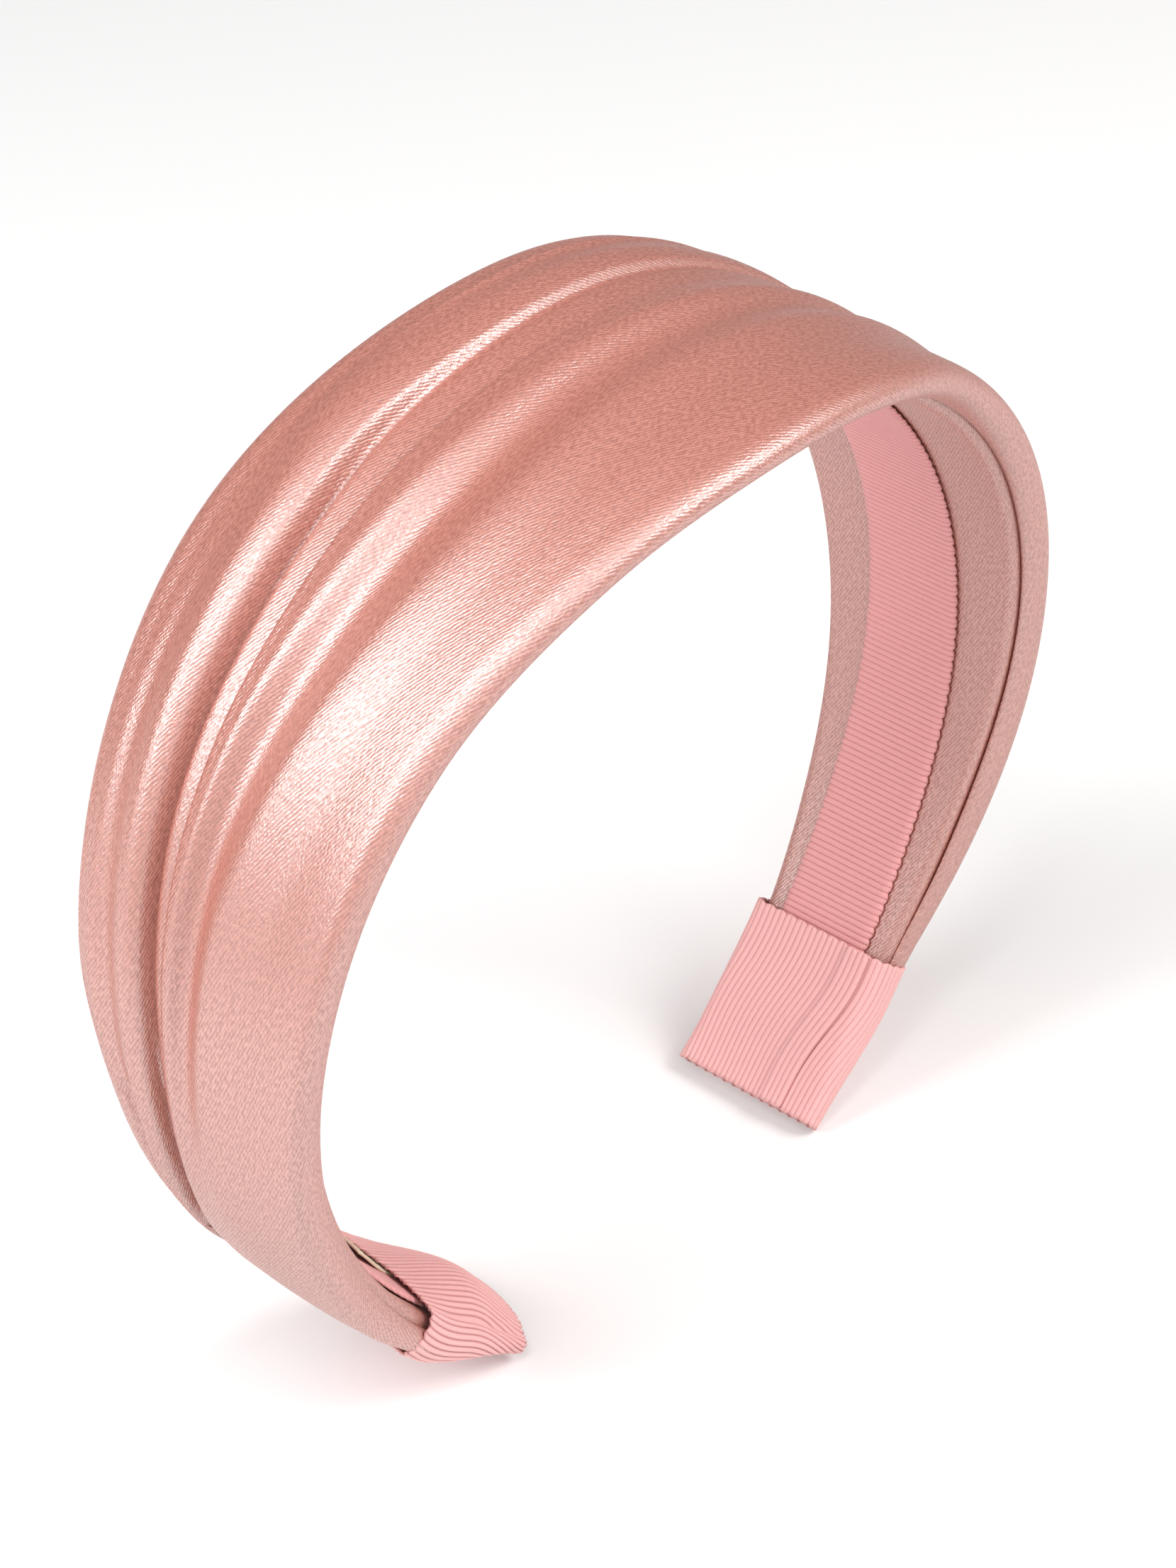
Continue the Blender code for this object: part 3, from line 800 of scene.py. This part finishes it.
def plasticMaterial():
    # Moulded polypropylene, uncoloured: milky, a little waxy, mottled about every 2.5 mm
    material, tree, shader = newMaterial("mouldedPolypropylene", {
        "IOR": 1.49, "Subsurface Weight": 0.15, "Subsurface Radius": (0.002, 0.002, 0.002),
    })
    place = addNode(tree, "ShaderNodeTexCoord")
    grain = addNode(tree, "ShaderNodeTexNoise", {"Scale": 400.0, "Detail": 3.0},
                    {"Vector": place.outputs["Object"]})
    rough = addNode(tree, "ShaderNodeMapRange", {"To Min": 0.34, "To Max": 0.5},
                    {"Value": grain.outputs["Fac"]})
    tint = addNode(tree, "ShaderNodeMix", {
        "data_type": "RGBA", 6: linearColour("#DCD8CE"), 7: linearColour("#EBE8E0"),
    }, {0: grain.outputs["Fac"]})
    tree.links.new(rough.outputs[0], shader.inputs["Roughness"])
    tree.links.new(tint.outputs[2], shader.inputs["Base Color"])
    return material


def foamMaterial():
    # Open-cell polyurethane foam, cut from a block: matt, pitted with cells about 0.7 mm across
    material, tree, shader = newMaterial("openCellFoam", {"Roughness": 0.92, "Specular IOR Level": 0.2})
    place = addNode(tree, "ShaderNodeTexCoord")
    cells = addNode(tree, "ShaderNodeTexVoronoi", {"Scale": 1400.0}, {"Vector": place.outputs["Object"]})
    # Colour darkens towards the middle of each cell, where the bump sinks it: painted shade in the pits
    tint = addNode(tree, "ShaderNodeMix", {
        "data_type": "RGBA", 6: linearColour("#CFC9B8"), 7: linearColour("#F2EFE4"),
    }, {0: cells.outputs["Distance"]})
    bump = addNode(tree, "ShaderNodeBump", {"Strength": 0.7, "Distance": 0.2 * mm},
                   {"Height": cells.outputs["Distance"]})
    tree.links.new(tint.outputs[2], shader.inputs["Base Color"])
    tree.links.new(bump.outputs[0], shader.inputs["Normal"])
    return material


def tabMaterial():
    # Plain-woven cotton tape, undyed: matt with a small square weave, threads 0.35 mm apart
    material, tree, shader = newMaterial("creamCottonTape", {"Roughness": 0.8, "Sheen Weight": 0.2})
    uv = addNode(tree, "ShaderNodeUVMap", {"uv_map": "cloth"})
    warp = addNode(tree, "ShaderNodeTexWave", {"Scale": 900.0, "bands_direction": "X"},
                   {"Vector": uv.outputs[0]})
    weft = addNode(tree, "ShaderNodeTexWave", {"Scale": 900.0, "bands_direction": "Y"},
                   {"Vector": uv.outputs[0]})
    both = addNode(tree, "ShaderNodeMath", {"operation": "MULTIPLY"},
                   {0: warp.outputs["Fac"], 1: weft.outputs["Fac"]})
    tint = addNode(tree, "ShaderNodeMix", {
        "data_type": "RGBA", 6: linearColour("#D9C7AB"), 7: linearColour("#EFE3CC"),
    }, {0: both.outputs[0]})
    bump = addNode(tree, "ShaderNodeBump", {"Strength": 0.5, "Distance": 0.08 * mm},
                   {"Height": both.outputs[0]})
    tree.links.new(tint.outputs[2], shader.inputs["Base Color"])
    tree.links.new(bump.outputs[0], shader.inputs["Normal"])
    return material


outerSatin = satinWeave("dyedPolyesterSatin", satin["outerRoughness"])
innerSatin = satinWeave("liningPolyesterSatin", satin["innerRoughness"])
liningCloth = grosgrainCloth("liningGrosgrain", grosgrain["liningColour"], grosgrain["liningShade"])
capCloth = grosgrainCloth("capGrosgrain", grosgrain["capColour"], grosgrain["capShade"])

drapePiece = buildDrape(outerSatin)
print("outer drape pleated", len(drapePiece.data.polygons))
coverPiece = buildInnerCover(innerSatin)
liningPiece = buildLining(liningCloth)
print("inner cover and lining ribbon laid")
leftCap = buildCap("leftTipCap", -1, leftLoop, capCloth)
rightCap = buildCap("rightTipCap", 1, rightLoop, capCloth)
tabPiece = buildTab(tabMaterial())
corePiece = closedStrip("sprungCore", core["end"], core["rows"], coreSection, plasticMaterial())
foamPiece = closedStrip("foamPad", padding["end"], padding["rows"], foamSection, foamMaterial())
print("caps, tab, core and foam made")

pieces = (
    (drapePiece, "outer_drape", "outer_satin"),
    (coverPiece, "inner_cover", "inner_satin"),
    (liningPiece, "lining_ribbon", "lining_ribbon"),
    (leftCap, "end_cap_left", "cap_ribbon"),
    (rightCap, "end_cap_right", "cap_ribbon"),
    (tabPiece, "label_tab", "tab_cloth"),
    (corePiece, "band_core", "core_plastic"),
    (foamPiece, "foam_pad", "padding_foam"),
)
for piece, node, slotName in pieces:
    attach(piece, "root")
    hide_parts(node)

for piece in (drapePiece, coverPiece, liningPiece, leftCap, rightCap, tabPiece):
    print(piece.name, "cloth area", round(clothArea(piece) * 1e6), "mm2")


# Studio: white paper floor and surroundings, a long strip softbox high at the left, a softbox at
# the front right and a weak fill from beside the camera
studio = {
    "azimuth": -45.745,
    "elevation": 37.3725,
    "roll": -3.317,
    "distance": 0.6207,
    "lens": 108.8406,
    "target": (-0.000513, 0.074639),
    "lightTarget": 0.075,
    "world": "#FFFFFF",
    "worldStrength": 0.2,
    "floor": "#E6E6E6",
    "floorGlow": 0.1,
}
# Direction, distance, size, watts, colour and the way its long side runs
softLights = (
    ("stripSoftbox", (-0.62, 0.12, 0.75), 0.8, (1.0, 0.34), 8.6, "#FFFFFF", (0.55, -0.85, 0.5)),
    ("rightSoftbox", (0.38, -0.62, 0.68), 1.1, (0.6, 0.5), 8.5, "#FFFCFA", (1, 0, 0)),
    ("cameraFill", (-0.35, -0.70, 0.62), 1.2, (0.8, 0.8), 4.0, "#FFFFFF", (1, 0, 0)),
)


def aimCamera():
    azimuth, elevation, roll = (math.radians(studio[k]) for k in ("azimuth", "elevation", "roll"))
    back = Vector((math.sin(azimuth) * math.cos(elevation), -math.cos(azimuth) * math.cos(elevation),
                   math.sin(elevation)))
    right = Vector((math.cos(azimuth), math.sin(azimuth), 0.0))
    up = back.cross(right)
    turnedRight = right * math.cos(roll) + up * math.sin(roll)
    turnedUp = up * math.cos(roll) - right * math.sin(roll)
    target = Vector((studio["target"][0], bandMiddle, studio["target"][1]))
    data = bpy.data.cameras.new("camera")
    data.sensor_width = 36.0
    data.lens = studio["lens"]
    data.clip_start = 0.01
    camera = bpy.data.objects.new("camera", data)
    camera.matrix_world = Matrix((turnedRight, turnedUp, back)).transposed().to_4x4()
    camera.location = target + back * studio["distance"]
    bpy.context.scene.collection.objects.link(camera)
    bpy.context.scene.camera = camera


def softLight(name, direction, distance, size, watts, colour, longSide):
    data = bpy.data.lights.new(name, "AREA")
    data.shape = "RECTANGLE"
    data.size, data.size_y = size
    data.energy = watts
    data.color = linearColour(colour)[:3]
    light = bpy.data.objects.new(name, data)
    towards = Vector(direction).normalized()
    side = Vector(longSide)
    side = (side - towards * side.dot(towards)).normalized()
    light.matrix_world = Matrix((side, towards.cross(side), towards)).transposed().to_4x4()
    light.location = Vector((0, bandMiddle, studio["lightTarget"])) + towards * distance
    bpy.context.scene.collection.objects.link(light)


def makeStudio():
    bm = bmesh.new()
    bmesh.ops.create_grid(bm, x_segments=2, y_segments=2, size=3.0)
    floor = addPiece("floor", bm)
    # Matt white paper, faintly lit from within so that it stays white under the object
    paper = newMaterial("whitePaper", {
        "Roughness": 0.9,
        "Specular IOR Level": 0.1,
        "Base Color": linearColour(studio["floor"]),
        "Emission Color": linearColour("#FFFFFF"),
        "Emission Strength": studio["floorGlow"],
    })[0]
    floor.data.materials.append(paper)
    world = bpy.data.worlds.new("studio")
    world.use_nodes = True
    background = world.node_tree.nodes["Background"]
    background.inputs[0].default_value = linearColour(studio["world"])
    background.inputs[1].default_value = studio["worldStrength"]
    bpy.context.scene.world = world
    bpy.context.scene.view_settings.view_transform = "Standard"
    for light in softLights:
        softLight(*light)


aimCamera()
makeStudio()
print("studio set")
